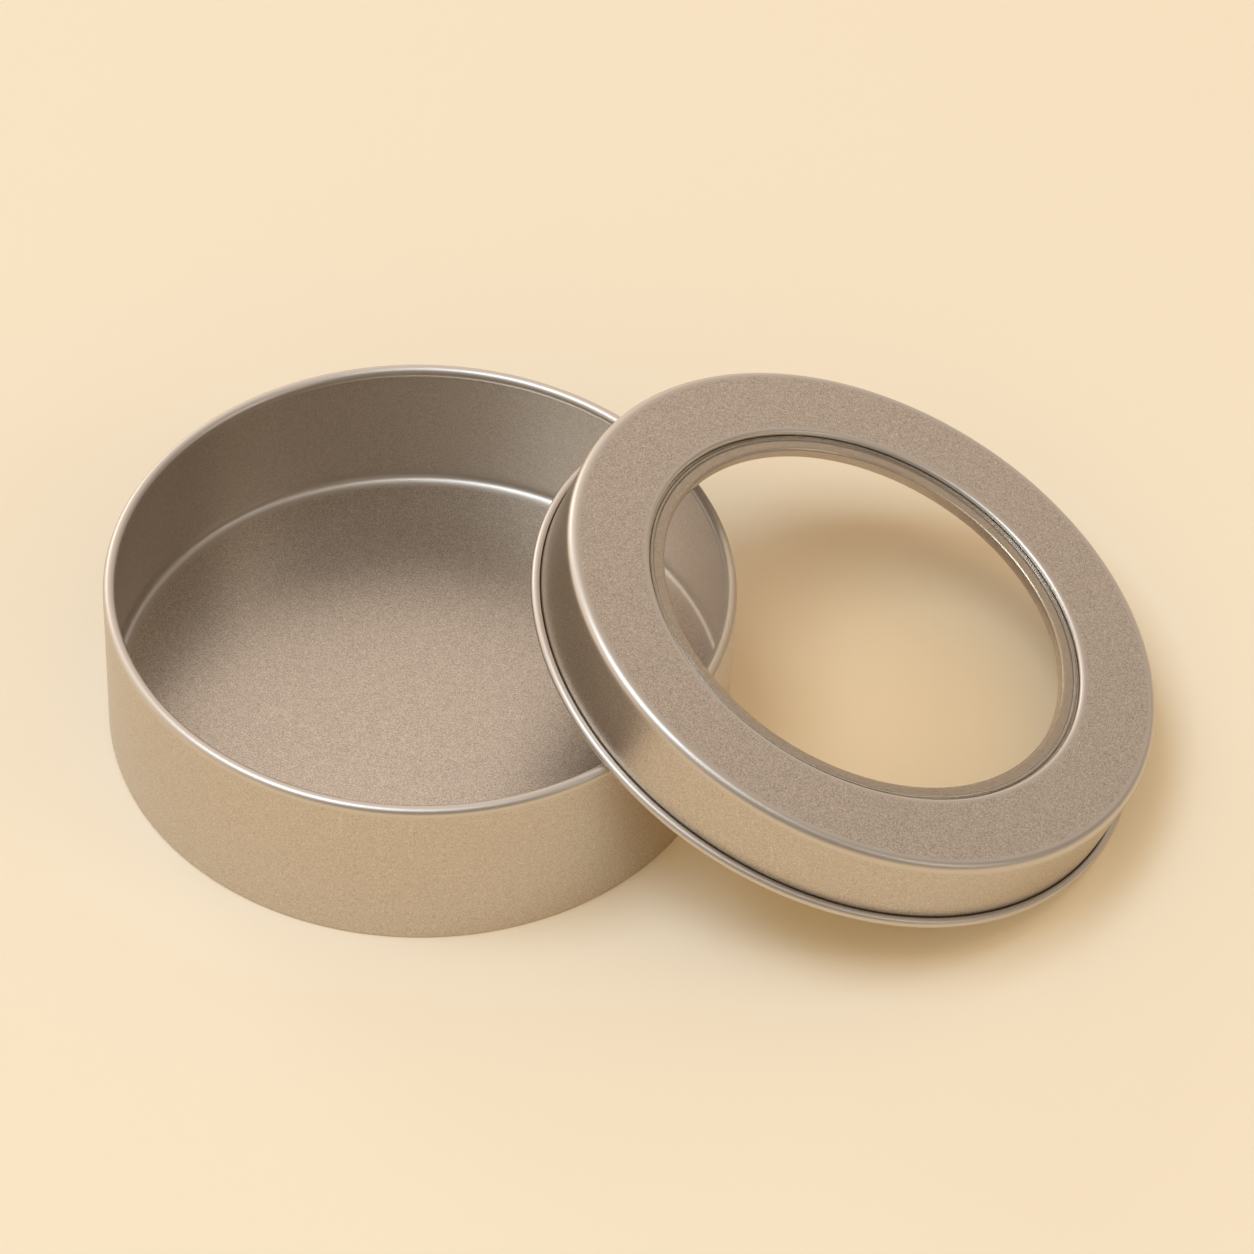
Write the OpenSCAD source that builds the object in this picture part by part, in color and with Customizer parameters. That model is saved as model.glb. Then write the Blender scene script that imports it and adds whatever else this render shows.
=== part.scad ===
/* [Base can] */
// Outer diameter of the base can, over its wall and its rim
base_dia = 100; // [80:0.5:120]
// Height of the base can, from the table to the top of its rim
base_height = 29; // [22:0.5:40]
// Thickness of the sheet that the base can is drawn from
base_sheet = 0.3; // [0.24:0.02:0.4]
// Diameter of the curl that is rolled inwards along the rim
rim_curl_dia = 2; // [1.6:0.1:2.6]
// Height of the floor's upper face above the table
floor_lift = 2.8; // [1.6:0.1:4]
// Radius of the cove where the floor meets the wall
cove_radius = 1.3; // [0.6:0.1:4]
// Width of the foot ring that the base can stands on
foot_width = 1; // [0.8:0.1:2]
// Radius of the foot ring's outer corner
foot_radius = 0.4; // [0.2:0.05:0.6]

/* [Lid shell] */
// Gap all round between the base can's wall and the lid's skirt
lid_clearance = 0.12; // [0.08:0.02:0.3]
// Height of the lid, from the bottom of its bead to its face
lid_height = 14; // [10:0.5:20]
// Thickness of the sheet that the lid is drawn from
lid_sheet = 0.25; // [0.2:0.01:0.35]
// Diameter of the bead that is curled outwards along the skirt
bead_dia = 1.6; // [1.4:0.1:2.4]
// Outer radius of the shoulder between the skirt and the face
shoulder_radius = 1.3; // [0.8:0.1:2.5]
// Width of the lid's face, from the outside of the skirt to the window hole
face_width = 13.4; // [8:0.1:25]
// Radius at which the face rolls down into the window hole
window_edge_radius = 0.7; // [0.5:0.1:1.2]

/* [Window pane] */
// Thickness of the clear sheet
pane_sheet = 0.25; // [0.2:0.01:0.35]
// How far the pane reaches under the face, past the edge of the window hole
pane_margin = 2.75; // [1.5:0.25:4]
// Outer radius of the rib that is formed round the pane
pane_rib_radius = 0.45; // [0.4:0.05:0.8]
// Gap between the edge of the window hole and the pane's rib
pane_rib_gap = 0.2; // [0.1:0.05:0.6]

/* [Window ring] */
// Thickness of the ring's sheet
ring_sheet = 0.25; // [0.2:0.01:0.35]
// Outer radius at which the ring's inner edge turns down, and turns back at the bottom
ring_edge_radius = 0.5; // [0.4:0.05:0.8]
// Height of the straight wall between those two turns
ring_wall_height = 1.1; // [0.6:0.1:2]
// How far the ring's inner wall stands inwards of the window hole's edge
ring_inset = 2.9; // [2:0.1:6]
// Gap left between pieces that are pressed together in the lid
seat_gap = 0.04; // [0.02:0.01:0.1]

/* [Resting pose] */
// Angle at the base can's axis from the lean direction to each place where the bead lies on the rim
touch_angle = 48; // [44:0.5:54]
// Gap left where the lid's bead lies on the rim
rest_gap = 0.15; // [0.05:0.01:0.3]
// Gap left where the lid's bead stands on the table
table_gap = 0.02; // [0.01:0.01:0.1]

/* [Hidden] */
$fn = 96;

// Angles that the rolled and hemmed edges turn through
rim_curl_turn = 300;
bead_turn = 295;
hem_turn = 150;

// Base can: radii of the wall's faces, and the centre of the rim's curl
wall_out_r = base_dia / 2;
wall_in_r = wall_out_r - base_sheet;
rim_r = rim_curl_dia / 2;
rim_line_r = wall_out_r - rim_r;
rim_line_z = base_height - rim_r;

// Lid: radii of the skirt's faces, and the centres of its rolled edges
skirt_in_r = wall_out_r + lid_clearance;
skirt_out_r = skirt_in_r + lid_sheet;
bead_r = bead_dia / 2;
bead_line_r = skirt_in_r + bead_r;
shoulder_line_r = skirt_out_r - shoulder_radius;
window_r = skirt_out_r - face_width;
edge_line_r = window_r + window_edge_radius;

// Heights in the lid, measured from the bottom of its bead
pane_top_z = lid_height - window_edge_radius - seat_gap;
pane_low_z = pane_top_z - pane_sheet;
ring_top_z = pane_low_z - seat_gap;
flange_top_z = lid_height - lid_sheet - seat_gap;

// Window pane and window ring: their radii
pane_r = window_r + pane_margin;
rib_line_r = window_r - pane_rib_gap - pane_rib_radius;
ring_in_r = window_r - ring_inset;
turn_line_r = ring_in_r + ring_edge_radius;
turn_top_z = ring_top_z - ring_edge_radius;
turn_low_z = turn_top_z - ring_wall_height;
ring_step_r = pane_r + seat_gap;
ring_r = shoulder_line_r;

// The lid leans along +X: its bead stands on the table and crosses the rim at two places
touch_x = rim_line_r * cos(touch_angle);
touch_y = rim_line_r * sin(touch_angle);
touch_back = sqrt(pow(bead_line_r, 2) - pow(touch_y, 2));
touch_reach = rim_r + bead_r + rest_gap;
stand_z = bead_r + table_gap;
lid_tilt = tilt_at(rise_at(tilt_at(rise_at(tilt_at(touch_reach)))));
lid_x = touch_x + touch_back * cos(lid_tilt);
lid_z = stand_z + bead_line_r * sin(lid_tilt);

// The origin lies on the table, midway between the outermost points of the base can and the lid
shoulder_rise = lid_height - shoulder_radius - bead_r;
shoulder_reach = shoulder_line_r * cos(lid_tilt) + shoulder_rise * sin(lid_tilt) + shoulder_radius;
bead_reach = bead_line_r * cos(lid_tilt) + bead_r;
middle_x = (lid_x + max(shoulder_reach, bead_reach) - wall_out_r) / 2;

// Tilt of the lid when its bead's centre line passes this far above the rim's centre line
function tilt_at(rise) = asin((rim_line_z + rise - stand_z) / (bead_line_r + touch_back));

// Height between the two centre lines where they cross, so that the rolled edges just clear
function rise_at(tilt) = touch_reach / crossing_share(rim_direction(), bead_direction(tilt));
function rim_direction() = [-touch_y, touch_x, 0] / rim_line_r;
function bead_direction(tilt) =
    [touch_y * cos(tilt), touch_back, -touch_y * sin(tilt)] / bead_line_r;
function crossing_share(along_rim, along_bead) =
    abs(cross(along_rim, along_bead)[2]) / norm(cross(along_rim, along_bead));

// A strip of sheet bent round the origin, from the angle start through the angle turn
module bent_strip(outer_r, sheet, start, turn) {
    steps = ceil(turn / 30);
    reach = 1.2 * outer_r;
    intersection() {
        difference() {
            circle(r = outer_r);
            circle(r = outer_r - sheet);
        }
        polygon([
            [0, 0],
            for (i = [0:steps]) reach * [cos(start + i * turn / steps), sin(start + i * turn / steps)]
        ]);
    }
}

// A straight strip between two radii and two heights
module strip(from_r, to_r, from_z, to_z) {
    translate([from_r, from_z]) square([to_r - from_r, to_z - from_z]);
}

// What fills a square corner down to a round cove of this radius, with the corner at the origin
module cove_fill(radius) {
    difference() {
        translate([-radius, 0]) square([radius, radius]);
        translate([-radius, radius]) circle(r = radius);
    }
}

// A foot ring's section, from the wall inwards, with its outer corner rounded
module foot_section() {
    difference() {
        strip(wall_out_r - foot_width, wall_out_r, 0, floor_lift);
        translate([wall_out_r, 0]) cove_fill(foot_radius);
    }
}

// Half section of the base can: foot ring, raised floor, cove, wall and inward curl
module base_section() {
    foot_section();
    strip(0, wall_in_r, floor_lift - base_sheet, floor_lift);
    translate([wall_in_r, floor_lift]) cove_fill(cove_radius);
    strip(wall_in_r, wall_out_r, floor_lift - base_sheet, rim_line_z);
    translate([rim_line_r, rim_line_z]) bent_strip(rim_r, base_sheet, 0, rim_curl_turn);
}

// Half section of the lid shell: outward bead, skirt, shoulder, face and rolled window edge
module lid_section() {
    translate([bead_line_r, bead_r]) bent_strip(bead_r, lid_sheet, 180, bead_turn);
    strip(skirt_in_r, skirt_out_r, bead_r, lid_height - shoulder_radius);
    translate([shoulder_line_r, lid_height - shoulder_radius])
        bent_strip(shoulder_radius, lid_sheet, 0, 90);
    strip(edge_line_r, shoulder_line_r, lid_height - lid_sheet, lid_height);
    translate([edge_line_r, lid_height - window_edge_radius])
        bent_strip(window_edge_radius, lid_sheet, 90, 90);
}

// Half section of the pane: flat sheet with one rib formed upwards round it
module pane_section() {
    strip(0, rib_line_r - pane_rib_radius + pane_sheet, pane_low_z, pane_top_z);
    strip(rib_line_r + pane_rib_radius - pane_sheet, pane_r, pane_low_z, pane_top_z);
    translate([rib_line_r, pane_low_z]) bent_strip(pane_rib_radius, pane_sheet, 0, 180);
}

// Half section of the window ring: hemmed inner wall, plate under the pane, step, outer flange
module ring_section() {
    translate([turn_line_r, turn_low_z]) bent_strip(ring_edge_radius, ring_sheet, 180, hem_turn);
    strip(ring_in_r, ring_in_r + ring_sheet, turn_low_z, turn_top_z);
    translate([turn_line_r, turn_top_z]) bent_strip(ring_edge_radius, ring_sheet, 90, 90);
    strip(turn_line_r, ring_step_r + ring_sheet, ring_top_z - ring_sheet, ring_top_z);
    strip(ring_step_r, ring_step_r + ring_sheet, ring_top_z - ring_sheet, flange_top_z);
    strip(ring_step_r, ring_r, flange_top_z - ring_sheet, flange_top_z);
}

// Puts the base can where it stands on the table
module standing() {
    translate([-middle_x, 0, 0]) children();
}

// Puts a piece of the lid where the lid leans on the base can
module leaning() {
    translate([lid_x - middle_x, 0, lid_z])
        rotate([0, lid_tilt, 0])
            translate([0, 0, -bead_r])
                children();
}

module base_can() {
    color("#A89C8E") standing() rotate_extrude() base_section();
}

module lid_shell() {
    color("#B3A596") leaning() rotate_extrude() lid_section();
}

module window_pane() {
    color("#EAF0F0", 0.35) leaning() rotate_extrude() pane_section();
}

module window_ring() {
    color("#C7BDB6") leaning() rotate_extrude() ring_section();
}

base_can();
lid_shell();
window_pane();
window_ring();
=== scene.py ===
"""A round slip-lid tin of satin tinplate, open, with a clear window in the lid that leans on the base can.

Every piece is turned: its half section is drawn in edit mode, spun round its own axis, and put in its place
in the frame. Sizes and places are in millimetres, because they are those of thin sheet, and a point of a
section is a radius and a height. Lamps and Blender's own units are in metres.
"""

import logging
import math
from dataclasses import dataclass
from enum import Enum

import bpy
from mathutils import Matrix, Vector


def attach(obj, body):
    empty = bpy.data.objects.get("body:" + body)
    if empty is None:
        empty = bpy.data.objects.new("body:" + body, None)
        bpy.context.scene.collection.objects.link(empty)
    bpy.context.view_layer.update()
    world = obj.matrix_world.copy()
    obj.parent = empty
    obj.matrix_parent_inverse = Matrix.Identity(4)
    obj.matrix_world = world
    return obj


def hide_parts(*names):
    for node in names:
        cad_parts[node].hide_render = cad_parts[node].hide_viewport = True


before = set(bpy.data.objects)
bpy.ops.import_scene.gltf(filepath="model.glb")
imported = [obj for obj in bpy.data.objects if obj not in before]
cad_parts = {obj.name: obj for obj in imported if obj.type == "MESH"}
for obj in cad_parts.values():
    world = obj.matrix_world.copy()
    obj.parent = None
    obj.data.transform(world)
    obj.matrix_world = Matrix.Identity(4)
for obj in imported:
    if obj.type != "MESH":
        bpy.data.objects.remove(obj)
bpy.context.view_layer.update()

LOG = logging.getLogger("window_lid_tin")

MM = 0.001
QUARTER_TURN = 90.0
HALF_TURN = 180.0
FULL_TURN = 360.0
MERGE_DISTANCE = 0.002 * MM
SMOOTH_ANGLE = math.radians(38)

# How far from a bend's arc a point still counts as on it, in millimetres.
ARC_TOLERANCE = 0.005

# The attributes in which a piece tells its finish where its bends and its upright walls are.
# A metal finish gives the bends a smoother face and a lighter colour; the lighter colour is a painted
# highlight.
BEND_MASK = "on_bend"
DRAWN = "drawn_wall"

# Mix nodes name their sockets alike for every data type, so these pick them by number.
FLOAT_A, FLOAT_B = 2, 3
COLOUR_A, COLOUR_B, COLOUR_OUT = 6, 7, 2

Point = tuple[float, float]


class Body(Enum):
    """The two bodies of the frame that a piece can ride on."""

    BASE = "base"
    LID = "lid"


class Slot(Enum):
    """The record's material slots."""

    BASE = "tinplate_base"
    LID = "tinplate_lid"
    PANE = "clear_pane"
    RING = "tinplate_ring"


# ---------------------------------------------------------------- materials


def linear(hex_colour: str) -> tuple[float, float, float, float]:
    """Turns an sRGB hex colour into linear light.

    Args:
        hex_colour: Six hex digits with a leading #.

    Returns:
        Red, green, blue and an alpha of 1.
    """
    channels = [int(hex_colour[i : i + 2], 16) / 255 for i in (1, 3, 5)]
    light = [c / 12.92 if c <= 0.04045 else ((c + 0.055) / 1.055) ** 2.4 for c in channels]
    return (light[0], light[1], light[2], 1.0)


def per_metre(feature_mm: float) -> float:
    """The texture scale at which a noise feature is this many millimetres wide."""
    return 1 / (feature_mm * MM)


def add_node(tree: bpy.types.NodeTree, kind: str, settings: dict | None = None,
             values: dict | None = None) -> bpy.types.Node:
    """Adds one node, and links or sets its inputs.

    Args:
        tree: The node tree that gets the node.
        kind: The node's type name.
        settings: The node's own properties.
        values: For each input socket, a value to set or an output socket to link from.

    Returns:
        The new node.
    """
    node = tree.nodes.new(kind)
    for name, value in (settings or {}).items():
        setattr(node, name, value)
    for name, value in (values or {}).items():
        if isinstance(value, bpy.types.NodeSocket):
            tree.links.new(value, node.inputs[name])
        else:
            node.inputs[name].default_value = value
    return node


@dataclass(frozen=True)
class SatinTinplate:
    """Tin-coated steel sheet, pressed and left with a matt-blasted, satin face.

    The blasting leaves an even grain without a direction. It breaks the reflection up into a soft sheen with
    fine light and dark specks. The real grain is about 0.1 mm, which is too fine to show, so it is drawn
    wider. The tools that draw, curl and press the sheet rub it: the walls have a fainter grain than the flat
    faces, and the bends are smooth. The bends also get a lighter colour, which is a painted highlight.

    Attributes:
        name: What the real finish is.
        dark_hex: The colour of the grain's hollows.
        light_hex: The colour of the grain's peaks.
        roughness: The roughness half way between the smoothest and the roughest places.
        roughness_spread: The difference between those places.
        grain_mm: The grain's width.
        grain_depth_mm: The grain's depth.
        mottle_mm: The width of the coarser spots that vary the grain.
        mottle_share: How much of the grain those spots are.
        speck_range: The part of the noise that runs from dark to light.
        even_tone: Where between dark and light a face without grain lies.
        cloud_mm: The width of the faint clouds in the sheen.
        cloud_share: How strong the clouds are beside the grain.
        cloud_range: The part of the clouds and the grain together that runs from smoothest to roughest.
        wall_grain: The share of the grain that is left on an upright wall.
        bend_highlight_hex: The lighter colour of a bend, which is a painted highlight.
        rubbed_roughness: The roughness of a bend.
        rubbed_grain: The share of the grain's depth that is left on a bend.
    """

    name: str
    dark_hex: str
    light_hex: str
    roughness: float = 0.36
    roughness_spread: float = 0.10
    grain_mm: float = 0.23
    grain_depth_mm: float = 0.006
    mottle_mm: float = 0.8
    mottle_share: float = 0.15
    speck_range: tuple[float, float] = (0.35, 0.65)
    even_tone: float = 0.5
    cloud_mm: float = 14.0
    cloud_share: float = 0.8
    cloud_range: tuple[float, float] = (0.2, 1.6)
    wall_grain: float = 0.60
    # A lighter colour on the bends, which is a painted highlight.
    bend_highlight_hex: str = "#D0C8BF"
    rubbed_roughness: float = 0.41
    rubbed_grain: float = 0.15

    def material(self) -> bpy.types.Material:
        """Builds the material.

        Returns:
            A metal with a grain in its colour, roughness and bump.
        """
        material = bpy.data.materials.new(self.name)
        material.use_nodes = True
        tree = material.node_tree
        tree.nodes.clear()
        place = add_node(tree, "ShaderNodeTexCoord").outputs["Object"]
        grain = add_node(tree, "ShaderNodeTexNoise", values={
            "Vector": place, "Scale": per_metre(self.grain_mm), "Detail": 2.0, "Roughness": 0.6})
        cloud = add_node(tree, "ShaderNodeTexNoise", values={
            "Vector": place, "Scale": per_metre(self.cloud_mm), "Detail": 3.0, "Roughness": 0.5})
        mottle = add_node(tree, "ShaderNodeTexNoise", values={
            "Vector": place, "Scale": per_metre(self.mottle_mm), "Detail": 2.0, "Roughness": 0.5})
        mingled = add_node(tree, "ShaderNodeMix", {"data_type": "FLOAT"}, {
            "Factor": self.mottle_share, FLOAT_A: grain.outputs["Fac"], FLOAT_B: mottle.outputs["Fac"]})
        speck = add_node(tree, "ShaderNodeMapRange", values={
            "Value": mingled.outputs[0], "From Min": self.speck_range[0], "From Max": self.speck_range[1]})
        drawn = add_node(tree, "ShaderNodeAttribute", {"attribute_name": DRAWN}).outputs["Fac"]
        share = add_node(tree, "ShaderNodeMapRange", values={
            "Value": drawn, "To Min": 1.0, "To Max": self.wall_grain})
        shown = add_node(tree, "ShaderNodeMix", {"data_type": "FLOAT"}, {
            "Factor": share.outputs["Result"], FLOAT_A: self.even_tone, FLOAT_B: speck.outputs["Result"]})
        colour = add_node(tree, "ShaderNodeMix", {"data_type": "RGBA"}, {
            "Factor": shown.outputs[0], COLOUR_A: linear(self.dark_hex), COLOUR_B: linear(self.light_hex)})
        clouded = add_node(tree, "ShaderNodeMath", {"operation": "MULTIPLY_ADD"}, {
            0: cloud.outputs["Fac"], 1: self.cloud_share, 2: shown.outputs[0]})
        rough = add_node(tree, "ShaderNodeMapRange", values={
            "Value": clouded.outputs["Value"],
            "From Min": self.cloud_range[0], "From Max": self.cloud_range[1],
            "To Min": self.roughness - self.roughness_spread / 2,
            "To Max": self.roughness + self.roughness_spread / 2})
        bend_weight = add_node(tree, "ShaderNodeAttribute", {"attribute_name": BEND_MASK}).outputs["Fac"]
        # On the bends the grain's colour gives way to a lighter one, which is a painted highlight.
        bend_highlight_colour = add_node(tree, "ShaderNodeMix", {"data_type": "RGBA"}, {
            "Factor": bend_weight, COLOUR_A: colour.outputs[COLOUR_OUT], COLOUR_B: linear(self.bend_highlight_hex)})
        rubbed_rough = add_node(tree, "ShaderNodeMix", {"data_type": "FLOAT"}, {
            "Factor": bend_weight, FLOAT_A: rough.outputs["Result"], FLOAT_B: self.rubbed_roughness})
        depth = add_node(tree, "ShaderNodeMapRange", values={
            "Value": bend_weight, "To Min": 1.0, "To Max": self.rubbed_grain})
        strength = add_node(tree, "ShaderNodeMath", {"operation": "MULTIPLY"}, {
            0: depth.outputs["Result"], 1: share.outputs["Result"]})
        bump = add_node(tree, "ShaderNodeBump", values={
            "Strength": strength.outputs["Value"], "Distance": self.grain_depth_mm * MM,
            "Height": grain.outputs["Fac"]})
        metal = add_node(tree, "ShaderNodeBsdfPrincipled", values={
            "Base Color": bend_highlight_colour.outputs[COLOUR_OUT], "Metallic": 1.0,
            "Roughness": rubbed_rough.outputs[0], "Normal": bump.outputs["Normal"]})
        add_node(tree, "ShaderNodeOutputMaterial", values={"Surface": metal.outputs["BSDF"]})
        return material


@dataclass(frozen=True)
class ClearSheet:
    """Clear PET sheet, formed with heat.

    It is glossy and all but unseen, apart from fine bright lines where its rib bends the light. The rib is a
    little hazy, because the sheet was stretched there. Light on its way to what lies behind passes straight
    through, so the sheet casts only a faint shadow.

    Attributes:
        name: What the real sheet is.
        tint_hex: The tint of what is seen through it.
        passed_hex: The tint of the light that it lets through.
        ior: The index of refraction of PET.
        roughness: The roughness of the flat sheet.
        rib_roughness: The roughness of the rib.
        ripple_mm: The width of the sheet's slight waves.
        ripple_depth_mm: The depth of those waves.
    """

    name: str = "formed clear PET sheet"
    tint_hex: str = "#FFFAF0"
    passed_hex: str = "#FFF8EC"
    ior: float = 1.57
    roughness: float = 0.02
    rib_roughness: float = 0.20
    ripple_mm: float = 9.0
    ripple_depth_mm: float = 0.004

    def material(self) -> bpy.types.Material:
        """Builds the material.

        Returns:
            A clear plastic with a slight ripple.
        """
        material = bpy.data.materials.new(self.name)
        material.use_nodes = True
        tree = material.node_tree
        tree.nodes.clear()
        place = add_node(tree, "ShaderNodeTexCoord").outputs["Object"]
        ripple = add_node(tree, "ShaderNodeTexNoise", values={
            "Vector": place, "Scale": per_metre(self.ripple_mm), "Detail": 1.0})
        bump = add_node(tree, "ShaderNodeBump", values={
            "Strength": 1.0, "Distance": self.ripple_depth_mm * MM, "Height": ripple.outputs["Fac"]})
        formed = add_node(tree, "ShaderNodeAttribute", {"attribute_name": BEND_MASK}).outputs["Fac"]
        rough = add_node(tree, "ShaderNodeMapRange", values={
            "Value": formed, "To Min": self.roughness, "To Max": self.rib_roughness})
        plastic = add_node(tree, "ShaderNodeBsdfPrincipled", values={
            "Base Color": linear(self.tint_hex), "Roughness": rough.outputs["Result"], "IOR": self.ior,
            "Transmission Weight": 1.0, "Normal": bump.outputs["Normal"]})
        rays = add_node(tree, "ShaderNodeLightPath").outputs
        light_ray = add_node(tree, "ShaderNodeMath", {"operation": "MAXIMUM"}, {
            0: rays["Is Shadow Ray"], 1: rays["Is Diffuse Ray"]})
        passed = add_node(tree, "ShaderNodeBsdfTransparent", values={"Color": linear(self.passed_hex)})
        sheet = add_node(tree, "ShaderNodeMixShader", values={
            0: light_ray.outputs["Value"], 1: plastic.outputs["BSDF"], 2: passed.outputs["BSDF"]})
        add_node(tree, "ShaderNodeOutputMaterial", values={"Surface": sheet.outputs["Shader"]})
        return material


# ---------------------------------------------------------------- modelling


class SectionPen:
    """Draws a closed half section in edit mode, then spins it into a turned piece."""

    def __init__(self, name: str, start: Point) -> None:
        """Puts the pen down.

        Args:
            name: Name of the new piece.
            start: Radius and height of the first point, in millimetres.
        """
        bpy.ops.object.select_all(action="DESELECT")
        bpy.ops.mesh.primitive_plane_add(size=MM, location=(0, 0, 0))
        self.piece = bpy.context.object
        self.piece.name = self.piece.data.name = name
        bpy.ops.object.mode_set(mode="EDIT")
        bpy.ops.mesh.select_mode(type="VERT")
        bpy.ops.mesh.select_all(action="SELECT")
        bpy.ops.mesh.merge(type="CENTER")
        bpy.ops.transform.translate(value=(start[0] * MM, 0, start[1] * MM))
        self.at = start

    def line(self, *points: Point) -> "SectionPen":
        """Extrudes straight edges through these points.

        Args:
            points: Radius and height of each point, in millimetres.

        Returns:
            The pen.
        """
        for point in points:
            step = ((point[0] - self.at[0]) * MM, 0, (point[1] - self.at[1]) * MM)
            bpy.ops.mesh.extrude_vertices_move(TRANSFORM_OT_translate={"value": step})
            self.at = point
        return self

    def arc(self, centre: Point, turn: float, steps: int) -> "SectionPen":
        """Spins the pen's point round a centre.

        Args:
            centre: Radius and height of the centre, in millimetres.
            turn: Angle in degrees, positive from outwards to upwards.
            steps: Number of edges.

        Returns:
            The pen.
        """
        bpy.ops.mesh.spin(steps=steps, angle=math.radians(turn), axis=(0, 1, 0),
                          center=(centre[0] * MM, 0, centre[1] * MM))
        arm = Vector((self.at[0] - centre[0], self.at[1] - centre[1]))
        arm.rotate(Matrix.Rotation(math.radians(turn), 2))
        self.at = (centre[0] + arm.x, centre[1] + arm.y)
        return self

    def stub(self, centre: Point, turn: float, radius: float) -> "SectionPen":
        """Draws a straight edge to a point on a circle.

        Args:
            centre: Radius and height of the circle's centre, in millimetres.
            turn: Where the point lies on the circle, in degrees from outwards to upwards.
            radius: The circle's radius, in millimetres.

        Returns:
            The pen.
        """
        way = math.radians(turn)
        return self.line((centre[0] + radius * math.cos(way), centre[1] + radius * math.sin(way)))

    def spin(self, steps: int) -> bpy.types.Object:
        """Closes the section and turns it round the Z axis.

        Args:
            steps: Number of faces round the piece.

        Returns:
            The turned piece, closed, with its faces pointing outwards.
        """
        bpy.ops.mesh.select_all(action="SELECT")
        bpy.ops.mesh.remove_doubles(threshold=MERGE_DISTANCE)
        bpy.ops.mesh.select_all(action="SELECT")
        bpy.ops.mesh.spin(steps=steps, angle=math.radians(FULL_TURN), center=(0, 0, 0), axis=(0, 0, 1))
        bpy.ops.mesh.select_all(action="SELECT")
        bpy.ops.mesh.remove_doubles(threshold=MERGE_DISTANCE)
        bpy.ops.mesh.normals_make_consistent(inside=False)
        bpy.ops.object.mode_set(mode="OBJECT")
        bpy.ops.object.shade_smooth_by_angle(angle=SMOOTH_ANGLE)
        return self.piece


@dataclass(frozen=True)
class Place:
    """Where a piece stands: a point on its own axis, and its tilt.

    Attributes:
        x: The point's distance from the origin along X, in millimetres.
        z: The point's height above the table, in millimetres.
        tilt: Turn about the Y axis, in degrees.
        drop: How far below the point the section's height of zero lies, along the axis, in millimetres.
    """

    x: float
    z: float = 0.0
    tilt: float = 0.0
    drop: float = 0.0

    def apply(self, piece: bpy.types.Object) -> None:
        """Puts the piece there, and moves the place into its mesh.

        Args:
            piece: The turned piece, which still stands on the origin.
        """
        turn = Matrix.Rotation(math.radians(self.tilt), 4, "Y")
        piece.matrix_world = (Matrix.Translation((self.x * MM, 0, self.z * MM)) @ turn
                              @ Matrix.Translation((0, 0, -self.drop * MM)))
        bpy.ops.object.select_all(action="DESELECT")
        piece.select_set(True)
        bpy.context.view_layer.objects.active = piece
        bpy.ops.object.transform_apply(location=True, rotation=True, scale=True)


@dataclass(frozen=True)
class Bend:
    """A curl or a pressed corner in a section, which its tool has rubbed smooth.

    Attributes:
        centre: Radius and height of its centre, in millimetres.
        radius: The radius of the face that is rubbed, in millimetres.
    """

    centre: Point
    radius: float

    def holds(self, point: Point) -> bool:
        """Tells whether a point of the section lies on the bend's arc."""
        return abs(math.dist(point, self.centre) - self.radius) < ARC_TOLERANCE


@dataclass
class Turned:
    """What every piece of the tin has.

    All sizes of its section are in millimetres. Where a bend runs into a long flat stretch, a narrow band of
    faces lies between them. Its width is called a margin, and it keeps the bend's shading off the flat sheet.

    Attributes:
        node: The frame's node that it stands for.
        body: The body that it rides on.
        slot: Its material slot, which is not used.
        place: Where it stands.
        material: Its finish.
        steps: The number of faces round it.
    """

    node: str
    body: Body
    slot: Slot
    place: Place
    material: bpy.types.Material
    steps: int = 288

    def section(self) -> SectionPen:
        """Draws the piece's closed half section."""
        raise NotImplementedError

    def bends(self) -> tuple[Bend, ...]:
        """Names the bends that are rubbed smooth."""
        return ()

    def rub(self, piece: bpy.types.Object) -> None:
        """Marks the bends and the upright walls in two attributes that the finish reads.

        Args:
            piece: The turned piece, before it leaves its own axis.
        """
        bends = self.bends()
        mesh = piece.data
        for name in (BEND_MASK, DRAWN):
            mesh.attributes.new(name, "FLOAT", "POINT")
        marks = zip(mesh.vertices, mesh.attributes[BEND_MASK].data, mesh.attributes[DRAWN].data)
        for vertex, bend_weight, drawn in marks:
            point = (math.hypot(vertex.co.x, vertex.co.y) / MM, vertex.co.z / MM)
            bend_weight.value = float(any(bend.holds(point) for bend in bends))
            drawn.value = math.hypot(vertex.normal.x, vertex.normal.y)

    def build(self) -> bpy.types.Object:
        """Turns the section, puts the piece in its place and dresses it.

        Returns:
            The finished piece.
        """
        piece = self.section().spin(self.steps)
        self.rub(piece)
        self.place.apply(piece)
        piece.data.materials.append(self.material)
        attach(piece, self.body.value)
        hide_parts(self.node)
        LOG.info("%s: %d faces on %s", piece.name, len(piece.data.polygons), self.body.value)
        return piece


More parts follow.
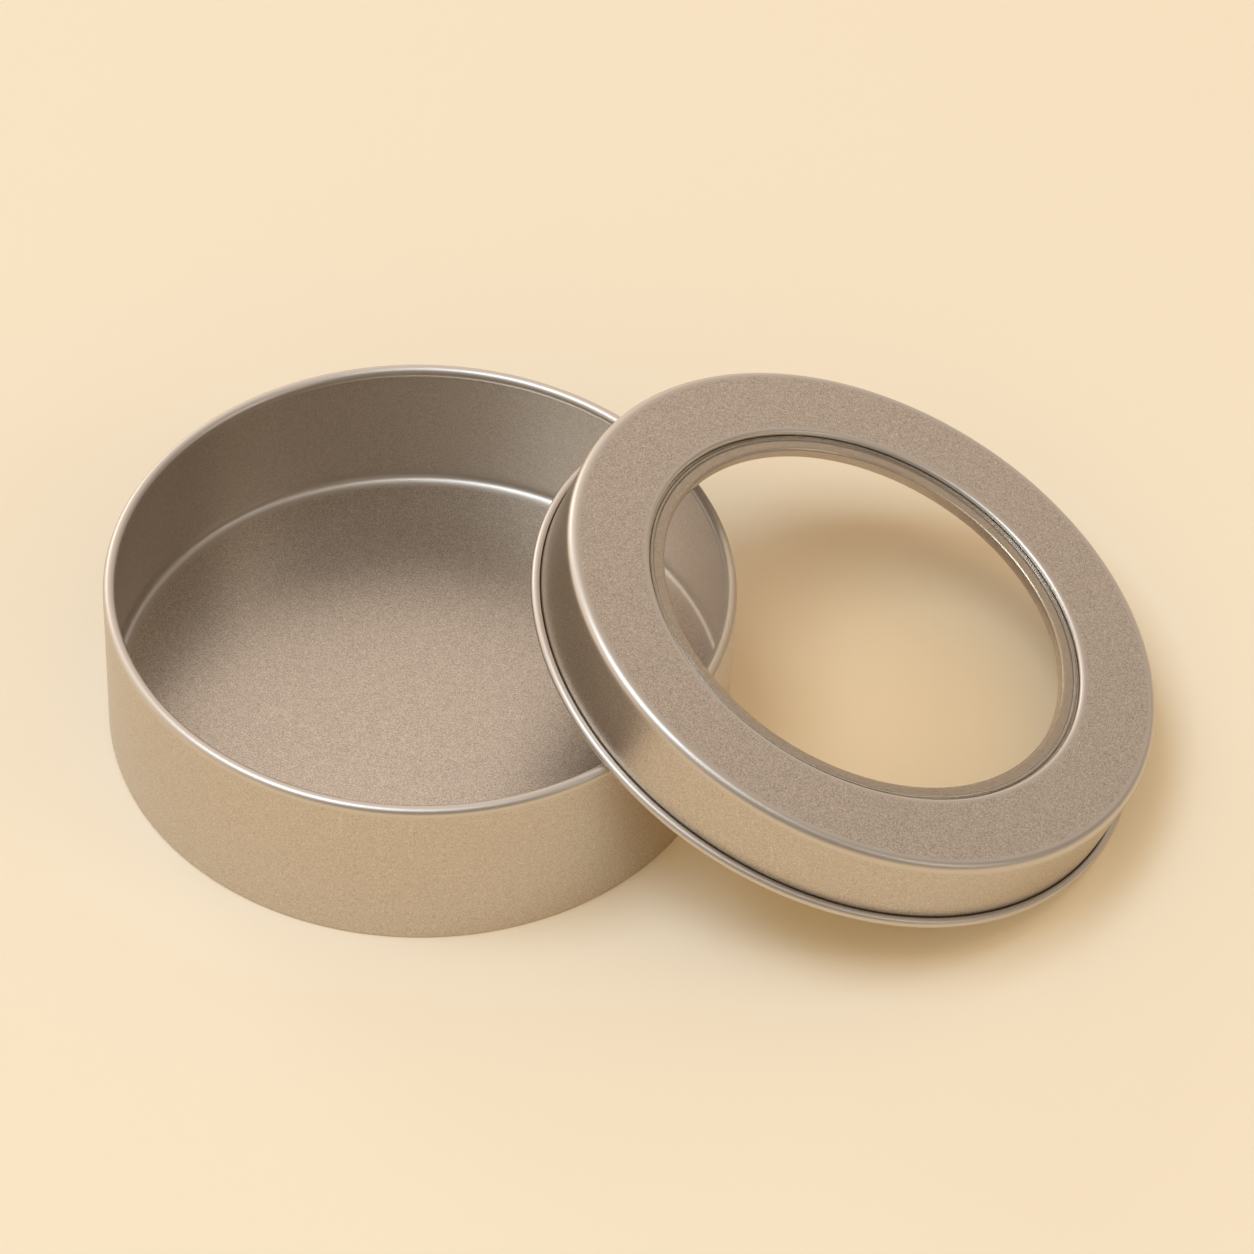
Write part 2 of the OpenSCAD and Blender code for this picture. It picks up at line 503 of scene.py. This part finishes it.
@dataclass
class BaseCan(Turned):
    """The drawn can: foot ring, raised floor, cove, plain wall and a rim curled inwards.

    Attributes:
        radius: The wall's outer radius.
        height: The height of the rim's top.
        sheet: The sheet's thickness.
        curl_radius: The outer radius of the rim's curl.
        curl_turn: How far the rim curls round, in degrees.
        floor_lift: The height of the floor's upper face.
        cove_radius: The radius of the cove, inside.
        foot_width: The foot ring's width.
        foot_radius: The radius of the foot ring's outer edge.
        floor_margin: The margin between the cove and the floor.
        wall_margin: The margin at both ends of the wall.
    """

    radius: float = 50.0
    height: float = 29.0
    sheet: float = 0.3
    curl_radius: float = 1.0
    curl_turn: float = 300.0
    floor_lift: float = 2.8
    cove_radius: float = 1.3
    foot_width: float = 1.0
    foot_radius: float = 0.4
    floor_margin: float = 1.0
    wall_margin: float = 0.6

    def rim(self) -> Bend:
        """The curled rim."""
        return Bend((self.radius - self.curl_radius, self.height - self.curl_radius), self.curl_radius)

    def cove(self) -> Bend:
        """The rounded corner between the wall and the floor."""
        inside = self.radius - self.sheet
        return Bend((inside - self.cove_radius, self.floor_lift + self.cove_radius), self.cove_radius)

    def section(self) -> SectionPen:
        """Draws the can's section, from the middle of the floor up the inside and down the outside.

        Returns:
            The pen at the end of the section.
        """
        inside = self.radius - self.sheet
        cove = self.cove().centre
        rim = self.rim().centre
        underside = self.floor_lift - self.sheet
        foot = self.radius - self.foot_width
        pen = SectionPen("base_can_shell", (0, self.floor_lift))
        pen.line((cove[0] - self.floor_margin, self.floor_lift), (cove[0], self.floor_lift))
        pen.arc(cove, turn=QUARTER_TURN, steps=14)
        pen.line((inside, cove[1] + self.wall_margin), (inside, rim[1] - self.wall_margin), (inside, rim[1]))
        pen.arc(rim, turn=self.curl_turn, steps=30)
        pen.stub(rim, self.curl_turn, self.curl_radius)
        pen.arc(rim, turn=-self.curl_turn, steps=36)
        pen.line((self.radius, rim[1] - self.wall_margin),
                 (self.radius, self.foot_radius + self.wall_margin), (self.radius, self.foot_radius))
        pen.arc((self.radius - self.foot_radius, self.foot_radius), turn=-QUARTER_TURN, steps=8)
        return pen.line((foot, 0), (foot, underside), (0, underside), (0, self.floor_lift))

    def bends(self) -> tuple[Bend, ...]:
        """Names the curled rim and the cove round the floor."""
        return self.rim(), self.cove()


@dataclass
class LidShell(Turned):
    """The drawn lid: a bead curled outwards, skirt, rounded shoulder, flat face and a rolled window edge.

    Attributes:
        skirt_radius: The skirt's inner radius.
        height: The height of the face's outer side.
        sheet: The sheet's thickness.
        bead_radius: The bead's outer radius.
        bead_turn: How far the bead curls round, in degrees.
        shoulder_radius: The shoulder's outer radius.
        face_width: The width of the face, from the skirt's outside to the window.
        edge_radius: The outer radius of the window's rolled edge.
        margin: The margin beside the bead, the shoulder and the rolled edge.
    """

    skirt_radius: float = 50.12
    height: float = 14.0
    sheet: float = 0.25
    bead_radius: float = 0.8
    bead_turn: float = 295.0
    shoulder_radius: float = 1.3
    face_width: float = 13.4
    edge_radius: float = 0.7
    margin: float = 0.6

    def outside(self) -> float:
        """The skirt's outer radius."""
        return self.skirt_radius + self.sheet

    def bead(self) -> Bend:
        """The bead round the skirt's lower edge."""
        return Bend((self.skirt_radius + self.bead_radius, self.bead_radius), self.bead_radius)

    def shoulder(self) -> Bend:
        """The rounded corner between the skirt and the face."""
        return Bend((self.outside() - self.shoulder_radius, self.height - self.shoulder_radius),
                    self.shoulder_radius)

    def roll(self) -> Bend:
        """The rolled edge of the window."""
        return Bend((self.outside() - self.face_width + self.edge_radius, self.height - self.edge_radius),
                    self.edge_radius)

    def section(self) -> SectionPen:
        """Draws the lid's section, from the window edge over the face and down the outside, and back inside.

        Returns:
            The pen at the end of the section.
        """
        outside = self.outside()
        window = outside - self.face_width
        under_face = self.height - self.sheet
        bead, shoulder, roll = (bend.centre for bend in self.bends())
        pen = SectionPen("lid_shell_skin", (window, roll[1]))
        pen.arc(roll, turn=-QUARTER_TURN, steps=12)
        pen.line((roll[0] + self.margin, self.height), (shoulder[0] - self.margin, self.height),
                 (shoulder[0], self.height))
        pen.arc(shoulder, turn=-QUARTER_TURN, steps=16)
        pen.line((outside, shoulder[1] - self.margin), (outside, bead[1] + self.margin), (outside, bead[1]))
        pen.arc(bead, turn=self.bead_turn, steps=28)
        pen.stub(bead, HALF_TURN + self.bead_turn, self.bead_radius)
        pen.arc(bead, turn=-self.bead_turn, steps=36)
        pen.line((self.skirt_radius, bead[1] + self.margin),
                 (self.skirt_radius, shoulder[1] - self.margin), (self.skirt_radius, shoulder[1]))
        pen.arc(shoulder, turn=QUARTER_TURN, steps=14)
        pen.line((shoulder[0] - self.margin, under_face), (roll[0] + self.margin, under_face),
                 (roll[0], under_face))
        pen.arc(roll, turn=QUARTER_TURN, steps=10)
        return pen.line((window, roll[1]))

    def bends(self) -> tuple[Bend, ...]:
        """Names the bead, the shoulder and the window edge."""
        return self.bead(), self.shoulder(), self.roll()


@dataclass
class WindowPane(Turned):
    """The clear pane: a flat disc with one raised rib round it, whose outer part lies under the lid's face.

    Attributes:
        top: The height of its upper face, in the lid.
        sheet: The sheet's thickness.
        radius: The disc's radius.
        rib_centre: The radius at which the rib runs round the disc.
        rib_radius: The radius of the rib's rounded top.
        margin: The margin on both sides of the rib.
    """

    top: float = 13.26
    sheet: float = 0.25
    radius: float = 39.72
    rib_centre: float = 36.32
    rib_radius: float = 0.45
    margin: float = 0.5

    def section(self) -> SectionPen:
        """Draws the pane's section, from its middle out over the rib and back underneath.

        Returns:
            The pen at the end of the section.
        """
        low = self.top - self.sheet
        outer, inner = self.bends()
        rise = math.degrees(math.asin(self.sheet / outer.radius))
        run = outer.radius * math.cos(math.radians(rise))
        pen = SectionPen("window_pane_sheet", (0, self.top))
        pen.line((self.rib_centre - run - self.margin, self.top), (self.rib_centre - run, self.top))
        pen.arc(outer.centre, turn=2 * rise - HALF_TURN, steps=18)
        pen.line((self.rib_centre + run + self.margin, self.top), (self.radius, self.top),
                 (self.radius, low), (self.rib_centre + inner.radius, low))
        pen.arc(inner.centre, turn=HALF_TURN, steps=12)
        return pen.line((self.rib_centre - inner.radius - self.margin, low), (0, low), (0, self.top))

    def bends(self) -> tuple[Bend, ...]:
        """Names the outer and the inner face of the rib."""
        centre = (self.rib_centre, self.top - self.sheet)
        return Bend(centre, self.rib_radius), Bend(centre, self.rib_radius - self.sheet)


@dataclass
class WindowRing(Turned):
    """The ring that holds the pane from inside: outer flange, step, plate and a hemmed inner wall.

    Attributes:
        top: The height of the plate's upper face, in the lid.
        flange_top: The height of the flange's upper face, in the lid.
        sheet: The sheet's thickness.
        edge_radius: The outer radius of the bends above and below the inner wall.
        wall_height: The height of the inner wall between those bends.
        hem_turn: How far the hem curls round, in degrees.
        inner_radius: The inner wall's radius, on the side of the window.
        step_radius: The step's inner radius.
        radius: The flange's outer radius.
        margin: The margin between the plate and the bend above the inner wall.
    """

    top: float = 12.97
    flange_top: float = 13.71
    sheet: float = 0.25
    edge_radius: float = 0.5
    wall_height: float = 1.1
    hem_turn: float = 150.0
    inner_radius: float = 34.07
    step_radius: float = 39.76
    radius: float = 49.07
    margin: float = 0.4

    def section(self) -> SectionPen:
        """Draws the ring's section, from the flange's edge in to the hem and back underneath.

        Returns:
            The pen at the end of the section.
        """
        low = self.top - self.sheet
        flange_low = self.flange_top - self.sheet
        step_outside = self.step_radius + self.sheet
        upper = (self.inner_radius + self.edge_radius, self.top - self.edge_radius)
        lower = (upper[0], upper[1] - self.wall_height)
        pen = SectionPen("window_ring_plate", (self.radius, self.flange_top))
        pen.line((self.step_radius, self.flange_top), (self.step_radius, self.top),
                 (upper[0] + self.margin, self.top), (upper[0], self.top))
        pen.arc(upper, turn=QUARTER_TURN, steps=14)
        pen.line((self.inner_radius, lower[1]))
        pen.arc(lower, turn=self.hem_turn, steps=18)
        pen.stub(lower, HALF_TURN + self.hem_turn, self.edge_radius - self.sheet)
        pen.arc(lower, turn=-self.hem_turn, steps=14)
        pen.line((self.inner_radius + self.sheet, upper[1]))
        pen.arc(upper, turn=-QUARTER_TURN, steps=10)
        pen.line((upper[0] + self.margin, low), (step_outside, low), (step_outside, flange_low),
                 (self.radius, flange_low))
        return pen.line((self.radius, self.flange_top))


# ---------------------------------------------------------------- studio


@dataclass(frozen=True)
class Softbox:
    """A soft lamp that hangs over the tin.

    Attributes:
        name: What the lamp is for.
        way: The direction from the tin to the lamp.
        size: Width and height of its face, in metres.
        power: Its power in watts.
        hex_colour: The colour of its light.
        distance: How far from the tin it hangs, in metres.
    """

    name: str
    way: tuple[float, float, float]
    size: tuple[float, float]
    power: float
    hex_colour: str
    distance: float = 2.4


@dataclass(frozen=True)
class Studio:
    """The pale floor, the soft light and the camera at the photograph's view.

    Attributes:
        base_x: Where the base can's axis, round which the camera turns, stands along X, in millimetres.
        floor_size: The floor's side, in metres.
        floor_hex: The paper's colour.
        glow_hex: The colour of the light that fills the room.
        glow_level: The strength that its slope adds to.
        glow_slope: How its strength grows along X, Y and Z.
        room_hex: The colour of the room that the metal mirrors.
        room_level: The brightness that its slope adds to.
        room_slope: How its brightness grows along X, Y and Z.
        room_least: The brightness below which no part of it falls.
        focal_mm: The lens.
        sensor_mm: The width of the camera's sensor.
        clip: The nearest and the farthest distance that the camera sees, in metres.
        distance: How far the camera stands back from its aim, in millimetres.
        elevation: Its height angle, in degrees.
        azimuth: Its turn round the base can, in degrees.
        roll: Its turn round its own view, in degrees.
        aim_right: How far its aim lies to the right of the base can's centre, in millimetres.
        aim_up: How far its aim lies above it in the picture, in millimetres.
        softboxes: The lamps.
    """

    base_x: float
    floor_size: float = 8.0
    floor_hex: str = "#FBF2E5"
    glow_hex: str = "#FFDFA9"
    glow_level: float = 0.66
    glow_slope: tuple[float, float, float] = (0.0, -0.36, 0.0)
    room_hex: str = "#FFEFE1"
    room_level: float = 0.55
    room_slope: tuple[float, float, float] = (-0.49, 0.47, 0.10)
    room_least: float = 0.30
    focal_mm: float = 145.70
    sensor_mm: float = 36.0
    clip: tuple[float, float] = (0.05, 20.0)
    distance: float = 821.72
    elevation: float = 45.698
    azimuth: float = 2.807
    roll: float = 3.003
    aim_right: float = 32.925
    aim_up: float = 14.158
    softboxes: tuple[Softbox, ...] = (
        Softbox("key_softbox", (-0.364, -0.153, 0.918), (1.20, 1.20), 22.0, "#D3ECFF"),
        Softbox("side_softbox", (-0.62, 0.70, 0.35), (0.80, 0.80), 5.0, "#F6F9FF"),
        Softbox("front_strip", (0.10, -0.36, 0.93), (1.40, 0.40), 3.4, "#FFFCF6"),
        Softbox("right_softbox", (0.79, -0.26, 0.57), (0.80, 0.80), 3.2, "#FFFCF6"),
    )

    def add_floor(self) -> bpy.types.Object:
        """Lays the floor under the tin.

        Returns:
            The floor, marked as stage.
        """
        bpy.ops.object.select_all(action="DESELECT")
        bpy.ops.mesh.primitive_plane_add(size=self.floor_size, location=(0, 0, 0))
        floor = bpy.context.object
        floor.name = "studio_floor"
        material = bpy.data.materials.new("cream paper backdrop")
        material.use_nodes = True
        tree = material.node_tree
        tree.nodes.clear()
        paper = add_node(tree, "ShaderNodeBsdfDiffuse", values={"Color": linear(self.floor_hex)})
        add_node(tree, "ShaderNodeOutputMaterial", values={"Surface": paper.outputs["BSDF"]})
        floor.data.materials.append(material)
        return floor

    def add_room(self) -> None:
        """Fills the room with a warm glow that is stronger in front, and gives the metal a room to mirror."""
        world = bpy.data.worlds.new("soft room")
        bpy.context.scene.world = world
        world.use_nodes = True
        tree = world.node_tree
        tree.nodes.clear()
        way = add_node(tree, "ShaderNodeTexCoord").outputs["Generated"]
        slope = add_node(tree, "ShaderNodeVectorMath", {"operation": "DOT_PRODUCT"}, {
            0: way, 1: self.room_slope})
        level = add_node(tree, "ShaderNodeMath", {"operation": "ADD"}, {
            0: slope.outputs["Value"], 1: self.room_level})
        lit = add_node(tree, "ShaderNodeMath", {"operation": "MAXIMUM"}, {
            0: level.outputs["Value"], 1: self.room_least})
        front = add_node(tree, "ShaderNodeVectorMath", {"operation": "DOT_PRODUCT"}, {
            0: way, 1: self.glow_slope})
        strength = add_node(tree, "ShaderNodeMath", {"operation": "ADD"}, {
            0: front.outputs["Value"], 1: self.glow_level})
        glow = add_node(tree, "ShaderNodeBackground", values={
            "Color": linear(self.glow_hex), "Strength": strength.outputs["Value"]})
        room = add_node(tree, "ShaderNodeBackground", values={
            "Color": linear(self.room_hex), "Strength": lit.outputs["Value"]})
        rays = add_node(tree, "ShaderNodeLightPath").outputs
        mirrored = add_node(tree, "ShaderNodeMath", {"operation": "MAXIMUM"}, {
            0: rays["Is Glossy Ray"], 1: rays["Is Transmission Ray"]})
        seen = add_node(tree, "ShaderNodeMath", {"operation": "MAXIMUM"}, {
            0: rays["Is Camera Ray"], 1: mirrored.outputs["Value"]})
        both = add_node(tree, "ShaderNodeMixShader", values={
            0: seen.outputs["Value"], 1: glow.outputs["Background"], 2: room.outputs["Background"]})
        add_node(tree, "ShaderNodeOutputWorld", values={"Surface": both.outputs["Shader"]})

    def add_softbox(self, softbox: Softbox) -> None:
        """Hangs a softbox that points at the tin.

        Args:
            softbox: Where it hangs, how large it is and what light it gives.
        """
        place = Vector(softbox.way).normalized() * softbox.distance
        bpy.ops.object.select_all(action="DESELECT")
        bpy.ops.object.light_add(type="AREA", location=place)
        light = bpy.context.object
        light.name = softbox.name
        light.data.shape = "RECTANGLE"
        light.data.size, light.data.size_y = softbox.size
        light.data.energy = softbox.power
        light.data.color = linear(softbox.hex_colour)[:3]
        light.rotation_euler = (-place).to_track_quat("-Z", "Y").to_euler()

    def add_camera(self) -> None:
        """Puts the camera where the photograph was taken from."""
        rise, lean = math.radians(self.elevation), math.radians(self.roll)
        forward = Vector((0, math.cos(rise), -math.sin(rise)))
        level_right = Vector((1, 0, 0))
        level_up = Vector((0, math.sin(rise), math.cos(rise)))
        right = math.cos(lean) * level_right + math.sin(lean) * level_up
        up = -math.sin(lean) * level_right + math.cos(lean) * level_up
        eye = -forward * self.distance + level_right * self.aim_right + level_up * self.aim_up
        seen = Matrix((right, up, -forward)).transposed().to_4x4()
        seen.translation = eye * MM
        turn = Matrix.Rotation(math.radians(self.azimuth), 4, "Z")
        bpy.ops.object.camera_add()
        camera = bpy.context.object
        camera.name = "photo_camera"
        camera.data.lens = self.focal_mm
        camera.data.sensor_width = self.sensor_mm
        camera.data.clip_start, camera.data.clip_end = self.clip
        camera.matrix_world = Matrix.Translation((self.base_x * MM, 0, 0)) @ turn @ seen
        bpy.context.scene.camera = camera

    def build(self) -> None:
        """Builds the whole studio."""
        bpy.context.scene.view_settings.view_transform = "Standard"
        self.add_floor()
        self.add_room()
        for softbox in self.softboxes:
            self.add_softbox(softbox)
        self.add_camera()
        LOG.info("studio: %d lights", len(self.softboxes))


# ---------------------------------------------------------------- the tin


# The base can stands on the table. The lid leans on the can's rim at the left and on the table at the right.
# part.scad works that out. LEANING is the point of the lid's axis that lies level with the bead's middle.
STANDING = Place(x=-33.9005)
LEANING = Place(x=32.3928, z=18.0004, tilt=19.7185, drop=LidShell.bead_radius)


def main() -> None:
    """Builds the tin and the studio, and reports each piece."""
    logging.basicConfig(level=logging.INFO, format="%(name)s: %(message)s")
    can_finish = SatinTinplate("satin tinplate, drawn can", "#A69C92", "#E3D7C9")
    lid_finish = SatinTinplate("satin tinplate, drawn lid", "#A69C92", "#E3D7C9")
    # The ring's colours are darker than the can's, which paints the shade on its inner wall.
    ring_finish = SatinTinplate("bright tinplate, pressed ring", "#A0978D", "#C3B8AC",
                                roughness=0.24, roughness_spread=0.06, grain_depth_mm=0.002)
    BaseCan("base_can", Body.BASE, Slot.BASE, STANDING, can_finish.material()).build()
    LidShell("lid_shell", Body.LID, Slot.LID, LEANING, lid_finish.material()).build()
    WindowPane("window_pane", Body.LID, Slot.PANE, LEANING, ClearSheet().material()).build()
    WindowRing("window_ring", Body.LID, Slot.RING, LEANING, ring_finish.material()).build()
    Studio(base_x=STANDING.x).build()


if __name__ == "__main__":
    main()
